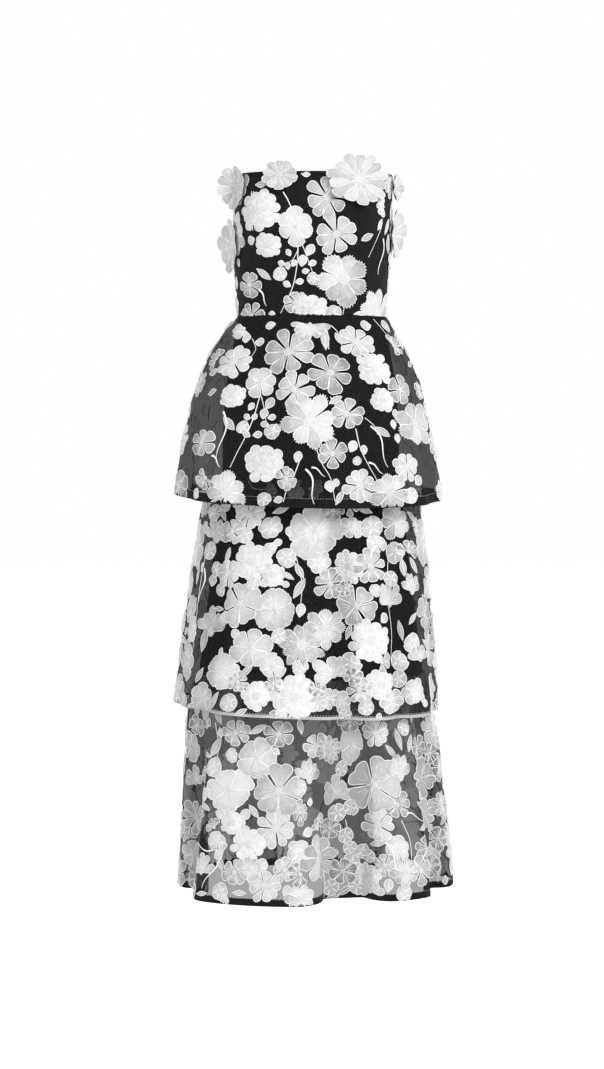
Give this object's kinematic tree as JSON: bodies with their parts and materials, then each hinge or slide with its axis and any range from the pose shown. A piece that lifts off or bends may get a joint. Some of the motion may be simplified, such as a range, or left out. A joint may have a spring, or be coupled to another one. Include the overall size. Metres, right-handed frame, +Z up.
{
  "type": "strapless tiered maxi dress",
  "caption": "Strapless fitted bodice over a slip with hanging sheer flared tiers, flower embroidery, loose flowers at the top edge and a back zip.",
  "frame": {"origin": "middle of the waist seam, where the wearer holds the dress up", "axes": "+Z up along the wearer, -Y to the front, +X to the wearer's left"},
  "size_m": [0.475, 0.3962, 1.2277],
  "materials": {
    "lined_black_cloth": "matt black backed bodice cloth with white embroidery",
    "slip_cloth": "smooth matt black lining",
    "embroidered_net": "sheer black net with white flower embroidery",
    "petal_cloth": "white organza petals with stitched edges",
    "zip_tape": "black woven tape with a nylon coil",
    "zip_metal": "black painted slider and pull"
  },
  "bodies": {
    "dress": {"bodice_front": "lined_black_cloth", "bodice_side_left": "lined_black_cloth", "bodice_side_right": "lined_black_cloth", "bodice_back_left": "lined_black_cloth", "bodice_back_right": "lined_black_cloth", "slip_front": "slip_cloth", "slip_back_left": "slip_cloth", "slip_back_right": "slip_cloth", "tier_1_front": "embroidered_net", "tier_1_back_left": "embroidered_net", "tier_1_back_right": "embroidered_net", "tier_2_front": "embroidered_net", "tier_2_back": "embroidered_net", "tier_3_front": "embroidered_net", "tier_3_back": "embroidered_net", "zip_tape": "zip_tape", "zip_slider": "zip_metal", "flower_top_left": "petal_cloth", "flower_top_centre": "petal_cloth", "flower_top_right": "petal_cloth", "flower_side_left": "petal_cloth", "flower_side_left_low": "petal_cloth", "flower_side_right": "petal_cloth"},
    "pull": {"zip_pull": "zip_metal"}
  },
  "joints": [
    {"name": "pull_swing", "type": "hinge", "parent": "dress", "child": "pull", "pos_m": [0, 0.10265, 0.197], "axis": [1, 0, 0], "range_deg": [0, 150]}
  ]
}
